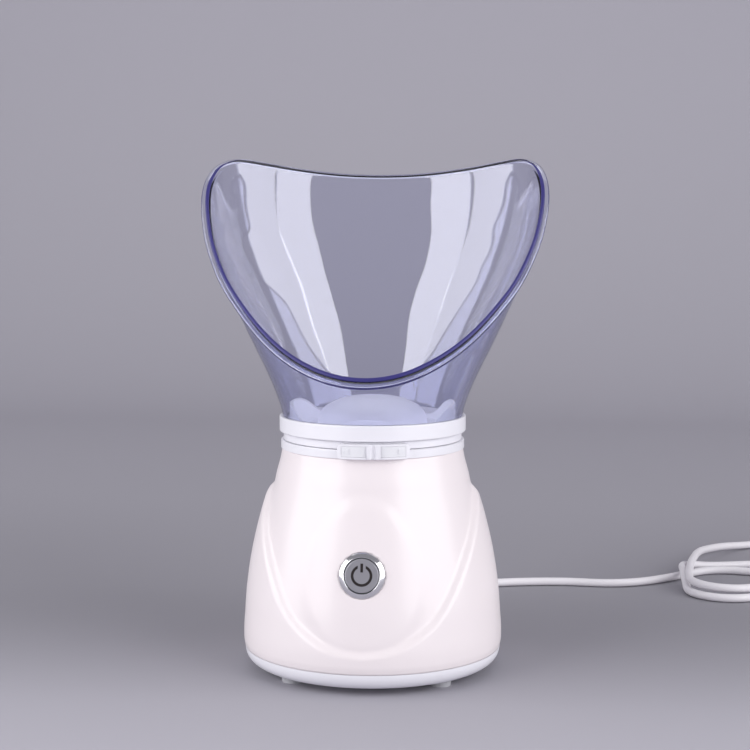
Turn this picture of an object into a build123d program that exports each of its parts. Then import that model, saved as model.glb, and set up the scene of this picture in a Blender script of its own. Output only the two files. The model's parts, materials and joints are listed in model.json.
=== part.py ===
"""Facial steamer: a heated water chamber in a bell-shaped housing, with a steam hood,
a sliding steam lever and a clear lift-off face mask on top.

Millimetres, +Z up, front (power button) towards -Y, origin at the middle of the
footprint, on the surface that the steamer stands on.
"""
from build123d import *
import math
import os

# ---------------------------------------------------------------- driving dimensions
FOOT_HEIGHT = 4.2            # gap between the table and the base cover
COVER_FLOOR_Z = 6.8          # inside of the base cover
SEAM_Z = 12.0                # joint between base cover and housing
BASE_R = 68.0                # radius of the base at that joint
NECK_Z = 118.0               # top edge of the housing neck
NECK_R = 47.8                # radius of the neck there
HOUSING_WALL = 2.4
TONGUE_BOTTOM_Z = 21.8       # lowest point of the sunken U-shaped tongue

DECK_TOP_Z = 122.4           # top of the fixed band on the neck
DECK_R = 48.5
SPIGOT_TOP_Z = 126.7         # fixed spigot that carries the tray and the mask
SPIGOT_R = 45.0
SPIGOT_BORE_R = 42.4

LEVER_RING_R = 47.1          # turning ring of the steam lever
LEVER_HALF_WIDTH = 18.4
LEVER_HEIGHT = 7.6
LEVER_Z = 118.2              # lower edge of the lever plate
LEVER_REST_ANGLE = 5.5       # degrees to the right of the button
LEVER_TRAVEL = 14.0          # degrees each side of the button

MASK_RING_R = 49.3
MASK_RING_Z = 126.75
MASK_RING_TOP_Z = 135.0
MASK_ROOT_R = 47.6
MASK_WALL = 2.2
MASK_TOP_Z = 276.0
MASK_LIP = 2.8               # how far the rim's lip stands out

TRAY_R = 43.9
TRAY_EAR_Z = 141.8           # tips of the two ears
TRAY_WALL_Z = 131.8          # low part of the wall between the ears
HOOD_R = 29.0
HOOD_Z = 129.3
HOOD_TOP_Z = 145.0
MOUTH_TOP_Z = 135.6          # top of the arch in the hood's front
BAFFLE_TOP_Z = 134.4

BUTTON_Z = 61.3
BUTTON_TILT = 11.0           # degrees that the button faces up
BUTTON_R = 8.65
BUTTON_SEAT_R = 61.6         # radius of the tongue at the button's height
BEZEL_R = 11.7
BEZEL_SEAT = -1.35           # flat seat of the bezel, under the housing's surface
SYMBOL_R = 5.4
SYMBOL_LINE = 1.35
SYMBOL_BAR = 4.4
SYMBOL_BAR_Y = 3.9

CHAMBER_R = 32.0
CHAMBER_BORE_R = 29.6
CHAMBER_FLOOR_Z = 34.0
CHAMBER_TOP_Z = 121.8

SCREW_CIRCLE_R = 56.0
SCREW_ANGLES = (30, 150, 210, 330)
DECK_SCREW_R = 37.2
DECK_SCREW_ANGLES = (45, 135, 225, 315)
POST_CIRCLE_R = 35.6         # heater posts
POST_ANGLES = (90, 210, 330)
BOARD_HOLES = [(x, y) for x in (-18, 18) for y in (-13, 13)]
FOOT_CIRCLE_R = 54.0
FOOT_ANGLES = (45, 135, 225, 315)

CORD_D = 5.0
GLAND_Z = 20.0
GLAND_OUT_Y = 66.0           # where the relief leaves the housing
GLAND_TIP_Y = 100.0          # free end of the tapered relief
CORD_ON_FLOOR_Z = 2.7
COIL_LOW_Z = 5.4             # top of the loose turns where one cord lies on the floor
COIL_HIGH_Z = 12.8           # and where three cross each other


# ---------------------------------------------------------------- small helpers
def disc(radius, z0, z1):
    """Solid cylinder about Z from z0 to z1."""
    return Pos(0, 0, (z0 + z1) / 2) * Cylinder(radius, z1 - z0)


def ring(outer, inner, z0, z1):
    """Hollow cylinder about Z."""
    return disc(outer, z0, z1) - disc(inner, z0 - 1, z1 + 1)


def block(size, centre):
    """Box of the given size about a centre point."""
    return Pos(*centre) * Box(*size)


def polar(radius, degrees, z=0.0):
    """Point at an angle counted from the front (-Y) towards +X."""
    turn = math.radians(degrees)
    return (radius * math.sin(turn), -radius * math.cos(turn), z)


def around(shape, radius, angles):
    """Copies of a shape that stands on the origin, set out on a circle."""
    return [Pos(*polar(radius, angle)) * shape for angle in angles]


def turned(*outline):
    """Solid of revolution about Z from edges drawn in the XZ plane."""
    return revolve(make_face(Wire(outline)), axis=Axis.Z)


def turned_curve(points):
    """Solid of revolution under a smooth curve through (radius, z) points."""
    curve = Spline(*[(r, 0, z) for r, z in points])
    low, high = points[0][1], points[-1][1]
    bottom = Line((0, 0, low), (points[0][0], 0, low))
    top = Line((points[-1][0], 0, high), (0, 0, high))
    return turned(bottom, curve, top, Line((0, 0, high), (0, 0, low)))


def prism_along_y(points, y0, y1):
    """Prism under a closed outline in XZ, from y0 to y1."""
    face = make_face(Polyline(*[(x, y0, z) for x, z in points], close=True))
    return extrude(face, amount=y1 - y0, dir=(0, 1, 0))


def sector(outer, inner, z0, z1, middle, half_angle):
    """Part of a ring, half_angle each side of the angle called middle."""
    reach = outer * 1.5
    steps = max(2, math.ceil(2 * half_angle / 30))
    angles = [middle - half_angle + 2 * half_angle * i / steps for i in range(steps + 1)]
    corners = [(0, 0, z0)] + [polar(reach, angle, z0) for angle in angles]
    wedge = extrude(make_face(Polyline(*corners, close=True)), amount=z1 - z0, dir=(0, 0, 1))
    return ring(outer, inner, z0, z1) & wedge


def wire_along(points, diameter, radius):
    """Round wire along straight runs with equal bends."""
    path = FilletPolyline(*points, radius=radius)
    start = Plane(origin=path @ 0, z_dir=path % 0)
    return sweep(start * Circle(diameter / 2), path=path)


# ---------------------------------------------------------------- housing
def body_curve(extra=0.0):
    """Bell of the raised outer body, ending in the shoulder under the neck."""
    points = [(BASE_R, SEAM_Z), (68.8, 20.0), (67.5, 40.0), (64.0, 64.4),
              (57.9, 88.8), (55.4, 96.0), (51.7, 100.9)]
    return [(r + extra, z) for r, z in points]


def tongue_curve(inset=0.0):
    """Sunken tongue, which runs up into the neck."""
    points = [(66.0, SEAM_Z), (66.6, 22.0), (65.4, 37.0), (62.4, 56.0), (58.4, 75.0),
              (54.3, 91.0), (51.1, 103.9), (48.8, 112.5), (NECK_R, NECK_Z)]
    return [(r - inset, z) for r, z in points]


def tongue_outline():
    """Half outline of the U, from its lowest point up one side: (x, z)."""
    return [(0, TONGUE_BOTTOM_Z), (14.9, 24.2), (25.0, 28.7), (34.3, 36.0), (41.7, 46.5),
            (46.7, 57.0), (50.2, 67.0), (52.2, 78.0), (52.6, 90.0), (52.8, 102.0)]


def tongue_cutter():
    """Prism of the U-shaped tongue, through the front half of the body."""
    right = tongue_outline()
    left = [(-x, z) for x, z in reversed(right[1:])]
    curve = Spline(*[(x, 0, z) for x, z in left + right])
    lid = Line(curve @ 1, curve @ 0)
    return extrude(make_face(Wire([curve, lid])), amount=90, dir=(0, -1, 0))


def button_frame():
    """Local frame of the button: origin on the housing surface, Z pointing out."""
    tilt = math.radians(BUTTON_TILT)
    outward = (0, -math.cos(tilt), math.sin(tilt))
    return Plane(origin=(0, -BUTTON_SEAT_R, BUTTON_Z), x_dir=(1, 0, 0), z_dir=outward).location


def board_posts():
    """Four posts from the front wall to the corners of the control board."""
    post = Cylinder(2.6, 14.0) - Cylinder(0.9, 14.1)
    return [Pos(x, y, -11.0) * post for x, y in BOARD_HOLES]


def housing_shell():
    body = turned_curve(body_curve())
    front = tongue_cutter()
    body = body - front - mirror(front, about=Plane.XZ)
    neck = turned_curve(tongue_curve())
    bore = turned_curve(tongue_curve(HOUSING_WALL))
    shell = (body + neck) - bore
    envelope = turned_curve(tongue_curve(HOUSING_WALL / 2))
    for post in board_posts():
        shell = shell + ((button_frame() * post) & envelope)
    pillar = disc(4.2, SEAM_Z, 36.0) - disc(1.5, SEAM_Z - 1, 32.0)
    for angle in SCREW_ANGLES:
        rib = Rot(0, 0, angle) * block((2.0, 7.5, 22.0), (0, -(SCREW_CIRCLE_R + 6.5), 24.0))
        shell = shell + (Pos(*polar(SCREW_CIRCLE_R, angle)) * pillar) + (rib & envelope)
    shell = shell - button_frame() * Cylinder(BEZEL_R - 1.2, 40)
    shell = shell - button_frame() * disc(BEZEL_R + 0.1, BEZEL_SEAT, 6.0)
    gland_hole = Pos(0, GLAND_OUT_Y, GLAND_Z) * Rot(90, 0, 0) * Cylinder(5.0, 14)
    return shell - gland_hole


def base_cover():
    top = SEAM_Z - 0.05
    under = Line((0, 0, FOOT_HEIGHT), (63.4, 0, FOOT_HEIGHT))
    side = ThreePointArc(under @ 1, (66.6, 0, 6.9), (BASE_R, 0, top))
    lip = Line(side @ 1, (65.4, 0, top))
    inside = ThreePointArc(lip @ 1, (64.4, 0, 8.2), (62.6, 0, COVER_FLOOR_Z))
    floor = Line(inside @ 1, (0, 0, COVER_FLOOR_Z))
    cover = turned(under, side, lip, inside, floor, Line(floor @ 1, under @ 0))
    boss = disc(5.6, FOOT_HEIGHT + 1, top)
    for place in around(boss, SCREW_CIRCLE_R, SCREW_ANGLES):
        cover = cover + place
    counterbore = disc(3.8, FOOT_HEIGHT - 1, 8.0) + disc(1.7, 7.0, 13.0)
    for place in around(counterbore, SCREW_CIRCLE_R, SCREW_ANGLES):
        cover = cover - place
    pocket = disc(6.6, FOOT_HEIGHT - 1, FOOT_HEIGHT + 1.0)
    for place in around(pocket, FOOT_CIRCLE_R, FOOT_ANGLES):
        cover = cover - place
    slot = block((2.4, 18, 8), (0, 0, FOOT_HEIGHT + 1))
    for i in range(-3, 4):
        cover = cover - Pos(i * 6.0, 0, 0) * slot
    return cover


def rubber_feet():
    foot = Cone(5.4, 6.4, FOOT_HEIGHT + 1.0)
    foot = Pos(0, 0, (FOOT_HEIGHT + 1.0) / 2) * foot
    return Compound(around(foot, FOOT_CIRCLE_R, FOOT_ANGLES))


def screw(head_r, head_h, shank_r, length):
    """Pan-head screw, head down, the head's underside at z = 0."""
    body = disc(head_r, -head_h, 0) + disc(shank_r, 0, length)
    body = fillet(body.edges().sort_by(Axis.Z)[0], head_h * 0.45)
    slot = block((head_r * 1.3, 0.7, 0.9), (0, 0, -head_h))
    return body - slot - Rot(0, 0, 90) * slot


def base_screws():
    return Compound([Pos(0, 0, 8.0) * one
                     for one in around(screw(3.4, 2.2, 1.45, 18.0), SCREW_CIRCLE_R, SCREW_ANGLES)])


# ---------------------------------------------------------------- power button
def button_bezel():
    flange = disc(BEZEL_R, BEZEL_SEAT, 2.2)
    flange = fillet(flange.edges().sort_by(Axis.Z)[-1], 1.2)
    barrel = disc(BEZEL_R - 1.3, -9.0, 0)
    bezel = flange + barrel - disc(BUTTON_R + 0.35, -12, 5)
    web = ring(BUTTON_R + 0.6, 4.2, -9.0, -7.6)
    return button_frame() * (bezel + web)


def power_button():
    cap = disc(BUTTON_R, -3.4, 1.9)
    cap = fillet(cap.edges().sort_by(Axis.Z)[-1], 0.6)
    groove = ring(SYMBOL_R, SYMBOL_R - SYMBOL_LINE, 1.5, 3.0)
    bar = block((SYMBOL_LINE, SYMBOL_BAR, 1.2), (0, SYMBOL_BAR_Y, 2.1))
    stem = disc(3.2, -12.6, -3.4)
    return button_frame() * (cap - (groove - symbol_gap()) - bar + stem)


def symbol_gap():
    """Opening at the top of the ring, for the bar."""
    return block((4.0, 5.0, 4.0), (0, 5.5, 2.6))


def power_symbol():
    """Dark inlay in the cap: an open ring with a bar at its top."""
    inlay = ring(SYMBOL_R, SYMBOL_R - SYMBOL_LINE, 1.5, 1.85)
    bar = block((SYMBOL_LINE, SYMBOL_BAR, 0.35), (0, SYMBOL_BAR_Y, 1.675))
    return button_frame() * Compound([inlay - symbol_gap(), bar])


def switch_body():
    case = block((12.0, 12.0, 3.6), (0, 0, -17.1)) - disc(3.4, -17.0, -14)
    legs = [block((0.8, 0.8, 2.4), (x, y, -21.8)) for x in (-4, 4) for y in (-3, 3)]
    return button_frame() * Compound([case] + legs)


def switch_plunger():
    return button_frame() * disc(3.0, -15.2, -12.6)


def control_board():
    board = block((46.0, 35.0, 1.6), (0, 0, -19.75))
    for x, y in BOARD_HOLES:
        board = board - Pos(x, y, 0) * disc(1.5, -22, -18)
    for x in (-4, 4):
        for y in (-3, 3):
            board = board - block((1.0, 1.0, 4.0), (x, y, -20))
    return button_frame() * board


def board_screws():
    one = screw(2.4, 1.5, 0.85, 8.0)
    return button_frame() * Compound([Pos(x, y, -20.6) * one for x, y in BOARD_HOLES])


def board_components():
    relay = block((9.0, 12.0, 6.0), (13.0, 2.0, -23.6))
    capacitor = Pos(-14.0, 5.0, 0) * disc(4.0, -27.6, -20.55)
    chip = block((6.0, 8.0, 1.8), (-12.0, -6.0, -21.5))
    connector = block((8.0, 4.0, 4.0), (0.0, -11.0, -22.6))
    return button_frame() * Compound([relay, capacitor, chip, connector])


# ---------------------------------------------------------------- water chamber and heater
def water_chamber():
    walls = ring(CHAMBER_R, CHAMBER_BORE_R, CHAMBER_FLOOR_Z, CHAMBER_TOP_Z)
    floor = ring(CHAMBER_R, 21.0, CHAMBER_FLOOR_Z, CHAMBER_FLOOR_Z + 2.6)
    flange = ring(40.5, CHAMBER_R - 1, 112.6, 115.4)
    ledge = ring(CHAMBER_BORE_R + 0.5, CHAMBER_BORE_R - 1.8, 116.4, 118.0)
    foot_ring = ring(CHAMBER_R, 27.6, CHAMBER_FLOOR_Z - 3.0, CHAMBER_FLOOR_Z)
    chamber = walls + floor + flange + ledge + foot_ring
    for place in around(disc(1.5, 110, 118), DECK_SCREW_R, DECK_SCREW_ANGLES):
        chamber = chamber - place
    return chamber


def chamber_gasket():
    gasket = ring(41.0, CHAMBER_R + 0.2, 115.4, 117.9)
    for place in around(disc(2.0, 114, 119), DECK_SCREW_R, DECK_SCREW_ANGLES):
        gasket = gasket - place
    return gasket


def chamber_screws():
    return Compound(around(Pos(0, 0, 112.6) * screw(2.8, 1.8, 1.4, 7.6), DECK_SCREW_R, DECK_SCREW_ANGLES))


def steam_windows(z0, z1):
    """Four openings that the shutter covers and uncovers."""
    return [sector(24.0, 9.0, z0, z1, angle, 20) for angle in (0, 90, 180, 270)]


def chamber_lid():
    lid = disc(CHAMBER_BORE_R - 0.1, 118.0, CHAMBER_TOP_Z - 0.2)
    for window in steam_windows(116, 124):
        lid = lid - window
    pivot = disc(3.0, 121.0, 125.4)
    return lid + pivot


def heater_plate():
    dish = disc(27.3, CHAMBER_FLOOR_Z - 5.4, CHAMBER_FLOOR_Z - 1.6)
    step = disc(20.6, CHAMBER_FLOOR_Z - 1.6, CHAMBER_FLOOR_Z + 2.2)
    return dish + step


def heater_seal():
    return ring(27.3, 20.7, CHAMBER_FLOOR_Z - 1.6, CHAMBER_FLOOR_Z)


def heater_element():
    """Bent tubular element under the plate, with two cold ends."""
    tube_r = 3.2
    z = CHAMBER_FLOOR_Z - 5.4 - tube_r
    arc = CenterArc((0, 0, z), 17.0, 120, 300)
    bend = sweep(Plane(origin=arc @ 0, z_dir=arc % 0) * Circle(tube_r), path=arc)
    caps = []
    for end, side in ((arc @ 0, -1), (arc @ 1, 1)):
        direction = (arc % 0) * -1 if side < 0 else arc % 1
        caps.append(Plane(origin=end, z_dir=direction).location * disc(1.2, 0.0, 3.5))
    return Compound([bend + caps[0] + caps[1]])


def heater_bracket():
    z = CHAMBER_FLOOR_Z - 5.4
    clamp = ring(38.5, 24.0, z - 2.0, z)
    for place in around(disc(1.7, z - 4, z + 2), POST_CIRCLE_R, POST_ANGLES):
        clamp = clamp - place
    lugs = ring(32.2, 27.8, z, z + 2.4)
    return clamp + lugs


def heater_posts():
    """Pillars that carry the bracket on the base cover."""
    z = CHAMBER_FLOOR_Z - 7.4
    pillar = disc(4.0, COVER_FLOOR_Z, z) - disc(1.5, z - 12, z + 1)
    return Compound(around(pillar, POST_CIRCLE_R, POST_ANGLES))


def heater_screws():
    z = CHAMBER_FLOOR_Z - 5.4
    one = Pos(0, 0, z) * Rot(180, 0, 0) * screw(3.0, 1.8, 1.45, 11.0)
    return Compound(around(one, POST_CIRCLE_R, POST_ANGLES))


def thermostat():
    z = CHAMBER_FLOOR_Z - 5.4
    case = disc(8.0, z - 7.0, z)
    tabs = [block((0.8, 4.0, 5.0), (x, 0, z - 9.5)) for x in (-5, 5)]
    return Compound([case + tabs[0] + tabs[1]])


def thermal_fuse():
    z = CHAMBER_FLOOR_Z - 9.6
    body = Pos(0, -30.6, z) * Rot(0, 90, 0) * Cylinder(2.2, 11.0)
    leads = Pos(0, -30.6, z) * Rot(0, 90, 0) * Cylinder(0.5, 20.0)
    return body + leads


# ---------------------------------------------------------------- neck, lever and tray
def top_deck():
    band = ring(DECK_R, CHAMBER_R + 0.25, NECK_Z, DECK_TOP_Z)
    top_edges = band.edges().filter_by(GeomType.CIRCLE).group_by(Axis.Z)[-1]
    band = fillet(top_edges.sort_by(SortBy.RADIUS)[-1], 0.6)
    skirt = ring(NECK_R - HOUSING_WALL - 0.1, 43.0, 109.0, NECK_Z)
    spigot = ring(SPIGOT_R, SPIGOT_BORE_R, DECK_TOP_Z, SPIGOT_TOP_Z)
    slot = sector(SPIGOT_R + 1, SPIGOT_BORE_R - 1, DECK_TOP_Z + 0.2, SPIGOT_TOP_Z - 0.6,
                  0, LEVER_TRAVEL + 7.0)
    deck = band + skirt + spigot - slot
    for place in around(disc(1.45, 117, 120.5), DECK_SCREW_R, DECK_SCREW_ANGLES):
        deck = deck - place
    return deck


def lever_plate_region(outer, inner, margin, z0, z1):
    """Arc-shaped plate in front of the ring, with rounded corners seen from the front."""
    half = LEVER_HALF_WIDTH - margin
    outline = Pos(0, -outer, (z0 + z1) / 2) * Rot(90, 0, 0) * extrude(
        RectangleRounded(2 * half, z1 - z0, min(2.0, (z1 - z0) / 2 - 0.2)), amount=30, both=True)
    return ring(outer, inner, z0 - 1, z1 + 1) & outline & block((200, 100, 200), (0, -50, 120))


def steam_lever():
    """Turning ring with the lever plate on its front and an arm to the shutter."""
    band = ring(LEVER_RING_R, SPIGOT_R + 0.35, DECK_TOP_Z + 0.3, SPIGOT_TOP_Z - 0.3)
    top = LEVER_Z + LEVER_HEIGHT
    plate = lever_plate_region(50.9, DECK_R + 0.35, 0, LEVER_Z, top)
    root = lever_plate_region(DECK_R + 0.6, LEVER_RING_R - 0.6, 0.6, DECK_TOP_Z + 0.35, top - 0.2)
    for side in (-1, 1):
        pad = lever_plate_region(51.5, 50.2, 0, LEVER_Z + 1.1, top - 1.0)
        window = block((12.6, 100, 20), (side * 10.1, -50, LEVER_Z + 4))
        plate = plate - (pad & window)
    rib = lever_plate_region(52.0, 50.4, 14.9, LEVER_Z + 0.3, top - 0.3)
    groove = Pos(0, -52.4, LEVER_Z + 4) * Cylinder(1.5, 20)
    arm = block((6.0, 22.0, 2.0), (0, -34.6, 124.8))
    lever = band + plate + root + (rib - groove) + arm
    return Rot(0, 0, LEVER_REST_ANGLE) * lever


def lever_pads():
    """Two soft grey inlays with an outward arrowhead on each."""
    top = LEVER_Z + LEVER_HEIGHT
    pads = []
    for side in (-1, 1):
        pad = lever_plate_region(50.75, 50.2, 0, LEVER_Z + 1.2, top - 1.1)
        window = block((12.4, 100, 20), (side * 10.1, -50, LEVER_Z + 4))
        middle = LEVER_Z + LEVER_HEIGHT / 2
        tip, tail = side * 15.0, side * 12.6
        arrow = prism_along_y([(tail, middle + 1.5), (tip, middle), (tail, middle - 1.5)], -60, -40)
        arrow = arrow & ring(51.1, 50.2, 110, 130)
        pads.append((pad & window) + arrow)
    return Rot(0, 0, LEVER_REST_ANGLE) * Compound(pads)


def steam_shutter():
    plate = disc(27.5, 122.2, 123.8) - disc(3.1, 120, 126)
    for window in steam_windows(120, 126):
        plate = plate - window
    hub = ring(6.5, 3.1, 123.8, 125.2)
    return Rot(0, 0, LEVER_REST_ANGLE) * (plate + hub)


def steam_tray():
    """Splash tray in the neck: floor, ears at the sides and a baffle behind the hood's mouth."""
    floor = ring(TRAY_R, 22.0, SPIGOT_TOP_Z + 0.05, 129.2)
    collar = ring(26.4, 24.4, 129.2, 131.6)
    wall = ring(TRAY_R, TRAY_R - 2.0, 128.8, TRAY_EAR_Z + 1)
    rise = Spline((28.5, 0, TRAY_WALL_Z), (32.0, 0, TRAY_WALL_Z + 1.6), (36.0, 0, TRAY_EAR_Z - 4.6),
                  (40.0, 0, TRAY_EAR_Z - 0.9), (42.8, 0, TRAY_EAR_Z), (44.5, 0, TRAY_EAR_Z - 0.5))
    outline = Wire([rise, Line(rise @ 1, (44.5, 0, 150)), Line((44.5, 0, 150), (0, 0, 150)),
                    Line((0, 0, 150), (0, 0, TRAY_WALL_Z)), Line((0, 0, TRAY_WALL_Z), rise @ 0)])
    above = extrude(make_face(outline), amount=60, dir=(0, 1, 0), both=True)
    wall = wall - above - mirror(above, about=Plane.YZ)
    baffle = sector(24.6, 22.8, 129.0, BAFFLE_TOP_Z, 0, 52)
    return floor + collar + wall + baffle


def steam_hood():
    """Lift-off bell over the outlet, with an arched mouth at the front."""
    outer = turned_curve([(HOOD_R, HOOD_Z), (28.7, 133.6), (26.6, 138.0), (21.5, 141.7),
                          (15.0, 144.1), (8.0, HOOD_TOP_Z)])
    inner = turned_curve([(HOOD_R - 1.9, HOOD_Z - 1), (26.9, 133.2), (24.9, 136.9), (20.2, 140.1),
                          (14.2, 142.3), (7.8, HOOD_TOP_Z - 1.9)])
    shell = outer - inner
    arch = Wire([Line((-19, 0, 128), (-19, 0, 130.5)),
                 ThreePointArc((-19, 0, 130.5), (0, 0, MOUTH_TOP_Z), (19, 0, 130.5)),
                 Line((19, 0, 130.5), (19, 0, 128)), Line((19, 0, 128), (-19, 0, 128))])
    return shell - extrude(make_face(arch), amount=40, dir=(0, -1, 0))


# ---------------------------------------------------------------- mask
# outer half width of the mask wall at each height
MASK_STATIONS = {129.0: 47.6, 133.0: 47.6, 138.0: 48.3, 146.0: 51.0, 158.0: 56.1, 172.0: 62.9, 190.0: 71.4,
                 210.0: 80.3, 232.0: 87.2, 255.0: 90.4, MASK_TOP_Z: 91.2}
MASK_DEPTH_RATIO = 0.45      # how much of the widening also goes to the depth
LIP_DEPTH_RATIO = 0.6        # how much of the lip's width it has at the front and rear
# side view of the rim, from in front of its lowest point to behind its rear: (y, z)
RIM = [(-60, 146.4), (-51, 154.4), (-42.0, 164.6), (-32.8, 176.6), (-22.6, 191.2), (-14, 204.4),
       (-7, 216.6), (-0.8, 231), (6.2, 245.6), (15.4, 257), (26.4, 264.4), (37, 267), (48, 265.2),
       (58, 262.2), (67, 258.8), (80, 254)]


def mask_loft(extra):
    """Solid tulip, its elliptical sections grown by extra."""
    sections = []
    for z, half_width in MASK_STATIONS.items():
        half_depth = MASK_ROOT_R + MASK_DEPTH_RATIO * (half_width - MASK_ROOT_R)
        extra_depth = extra * LIP_DEPTH_RATIO if extra > 0 else extra
        sections.append(Pos(0, 0, z) * Ellipse(half_width + extra, half_depth + extra_depth))
    return loft(sections)


def under_rim(shift_y=0.0, shift_z=0.0):
    """Everything below and behind the rim's side view."""
    rim = Spline(*[(-120, y + shift_y, z + shift_z) for y, z in RIM])
    low = 100
    start, end = rim @ 0, rim @ 1
    foot_a, foot_b = (-120, start.Y, low), (-120, end.Y, low)
    outline = Wire([rim, Line(end, foot_b), Line(foot_b, foot_a), Line(foot_a, start)])
    return extrude(make_face(outline), amount=240, dir=(1, 0, 0))


def face_mask():
    outer = mask_loft(0.0)
    inner = mask_loft(-MASK_WALL)
    below = under_rim()
    wall = (outer & below) - inner
    flange = (mask_loft(MASK_LIP) & (below - under_rim(1.5, -1.6))) - inner
    return wall + flange


def mask_ring():
    body = ring(MASK_RING_R, TRAY_R + 0.35, MASK_RING_Z, MASK_RING_TOP_Z)
    body = fillet(body.edges().filter_by(GeomType.CIRCLE).sort_by(SortBy.RADIUS)[-2:], 0.7)
    groove = ring(MASK_ROOT_R + 0.15, MASK_ROOT_R - MASK_WALL - 0.3, 128.95, MASK_RING_TOP_Z + 1)
    return body - groove


# ---------------------------------------------------------------- mains cord
def cord_gland():
    """Strain relief: inner collar, grooved neck and a long flexible taper."""
    axis = Pos(0, 0, GLAND_Z) * Rot(-90, 0, 0)
    collar = disc(7.0, GLAND_OUT_Y - 7.6, GLAND_OUT_Y - 4.6)
    neck = disc(4.9, GLAND_OUT_Y - 4.6, GLAND_OUT_Y + 3.4)
    taper_length = GLAND_TIP_Y - GLAND_OUT_Y - 3.4
    taper = Pos(0, 0, GLAND_OUT_Y + 3.4 + taper_length / 2) * Cone(5.6, 3.4, taper_length)
    return axis * (collar + neck + taper)


def power_cord_route():
    """Centre line of the free cord, from the relief into the loose turns."""
    floor = CORD_ON_FLOOR_Z
    return [(0, GLAND_TIP_Y + 0.1, GLAND_Z), (0, 121, 19.5), (4, 146, 9.5), (18, 168, floor),
            (46, 183, floor), (78, 193, floor), (108, 196.5, floor), (134, 192.5, floor),
            (157, 199, floor), (176, 214, floor), (182, 220, floor)]


def power_cord():
    route = power_cord_route()
    radii = []
    for before, corner, after in zip(route, route[1:], route[2:]):
        run_in = Vector(*corner) - Vector(*before)
        run_out = Vector(*after) - Vector(*corner)
        turn = math.radians(run_in.get_angle(run_out))
        radii.append(0.45 * min(run_in.length, run_out.length) / math.tan(turn / 2))
    print("cord radii", [round(radius) for radius in radii])
    path = FilletPolyline(*route, radius=radii)
    start = Plane(origin=path @ 0, z_dir=path % 0)
    cord = sweep(start * Circle(CORD_D / 2), path=path)
    print("cord length", round(path.length), "volume", round(cord.volume),
          "section x length", round(math.pi * CORD_D ** 2 / 4 * path.length))
    return cord


PLUG_TAIL = (246.0, 171.6, 7.8)      # tip of the plug's tail, in the side of the loose turns
PLUG_HEADING = -10.0                 # direction of the pins, from +X
PLUG_TAIL_LENGTH = 18.0

# rounds that the loose turns lie inside of: (x, y, radius)
LOOSE_TURNS = [(208, 182, 29), (208.5, 223, 29), (240, 262, 44), (282, 275, 70)]
CROSSINGS = [(208, 182, 29), (208.5, 223, 29), (216, 262, 22), (238, 182, 13.4)]


def hull_plate(rounds, z0, z1):
    """Plate with the outline of a string pulled tight around several rounds."""
    edges = [(Pos(x, y) * Circle(radius)).edge() for x, y, radius in rounds]
    return extrude(Pos(0, 0, z0) * make_hull(edges), amount=z1 - z0)


def cord_coil():
    """Outer shape of the loose turns, higher where they cross, with a socket at each end."""
    bottom = CORD_ON_FLOOR_Z - CORD_D / 2
    coil = hull_plate(LOOSE_TURNS, bottom, COIL_LOW_Z)
    high = hull_plate(CROSSINGS, bottom, COIL_HIGH_Z)
    coil = coil + fillet(high.edges().group_by(Axis.Z)[-1], 4.0)
    before, end = [Vector(*point) for point in power_cord_route()[-2:]]
    inlet = Plane(origin=end, z_dir=before - end).location * disc(CORD_D / 2 + 0.02, 0, 20)
    outlet = plug_location() * disc(PLUG_TAIL_LENGTH / 3, 0.01, 30)
    return coil - inlet - outlet


def plug_body():
    body = extrude(RectangleRounded(26.0, 15.0, 6.0), amount=32.0)
    body = fillet(body.edges().group_by(Axis.Z)[-1], 2.0)
    tail = Pos(0, 0, -PLUG_TAIL_LENGTH / 2) * Cone(3.0, 5.0, PLUG_TAIL_LENGTH)
    return plug_location() * Pos(0, 0, PLUG_TAIL_LENGTH) * (body + tail)


def plug_location():
    """Local frame of the plug: Z runs from the cord towards the pins."""
    heading = math.radians(PLUG_HEADING)
    along = (math.cos(heading), math.sin(heading), 0)
    across = (-math.sin(heading), math.cos(heading), 0)
    return Plane(origin=PLUG_TAIL, x_dir=across, z_dir=along).location


def plug_pins():
    pin = disc(2.0, PLUG_TAIL_LENGTH + 32.0, PLUG_TAIL_LENGTH + 51.0)
    pin = fillet(pin.edges().sort_by(Axis.Z)[-1], 1.2)
    return plug_location() * Compound([Pos(x, 0, 0) * pin for x in (-9.3, 9.3)])


# ---------------------------------------------------------------- inside wiring
CLAMP_Y = 53.5
TERMINAL = (4.0, 41.0)       # middle of the terminal block, seen from above
TERMINAL_TOP_Z = 23.0


def inner_lead():
    """Cord inside the housing, from the strain relief to the terminal block."""
    back = TERMINAL[1] + 5.0
    return Pos(0, (back + GLAND_OUT_Y - 7.6) / 2, GLAND_Z) * Rot(90, 0, 0) * Cylinder(
        CORD_D / 2, GLAND_OUT_Y - 7.6 - back)


def cord_clamp():
    bridge_z = GLAND_Z + CORD_D / 2
    clamp = block((18.0, 5.0, 2.4), (0, CLAMP_Y, bridge_z + 1.2))
    leg = disc(2.5, COVER_FLOOR_Z, bridge_z)
    for x in (-6.5, 6.5):
        clamp = clamp + Pos(x, CLAMP_Y, 0) * leg
    for x in (-6.5, 6.5):
        clamp = clamp - Pos(x, CLAMP_Y, 0) * disc(1.2, 12, 30)
    return clamp


def cord_clamp_screws():
    one = Pos(0, 0, GLAND_Z + CORD_D / 2 + 2.4) * Rot(180, 0, 0) * screw(2.2, 1.5, 1.15, 9.0)
    return Compound([Pos(x, CLAMP_Y, 0) * one for x in (-6.5, 6.5)])


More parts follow.
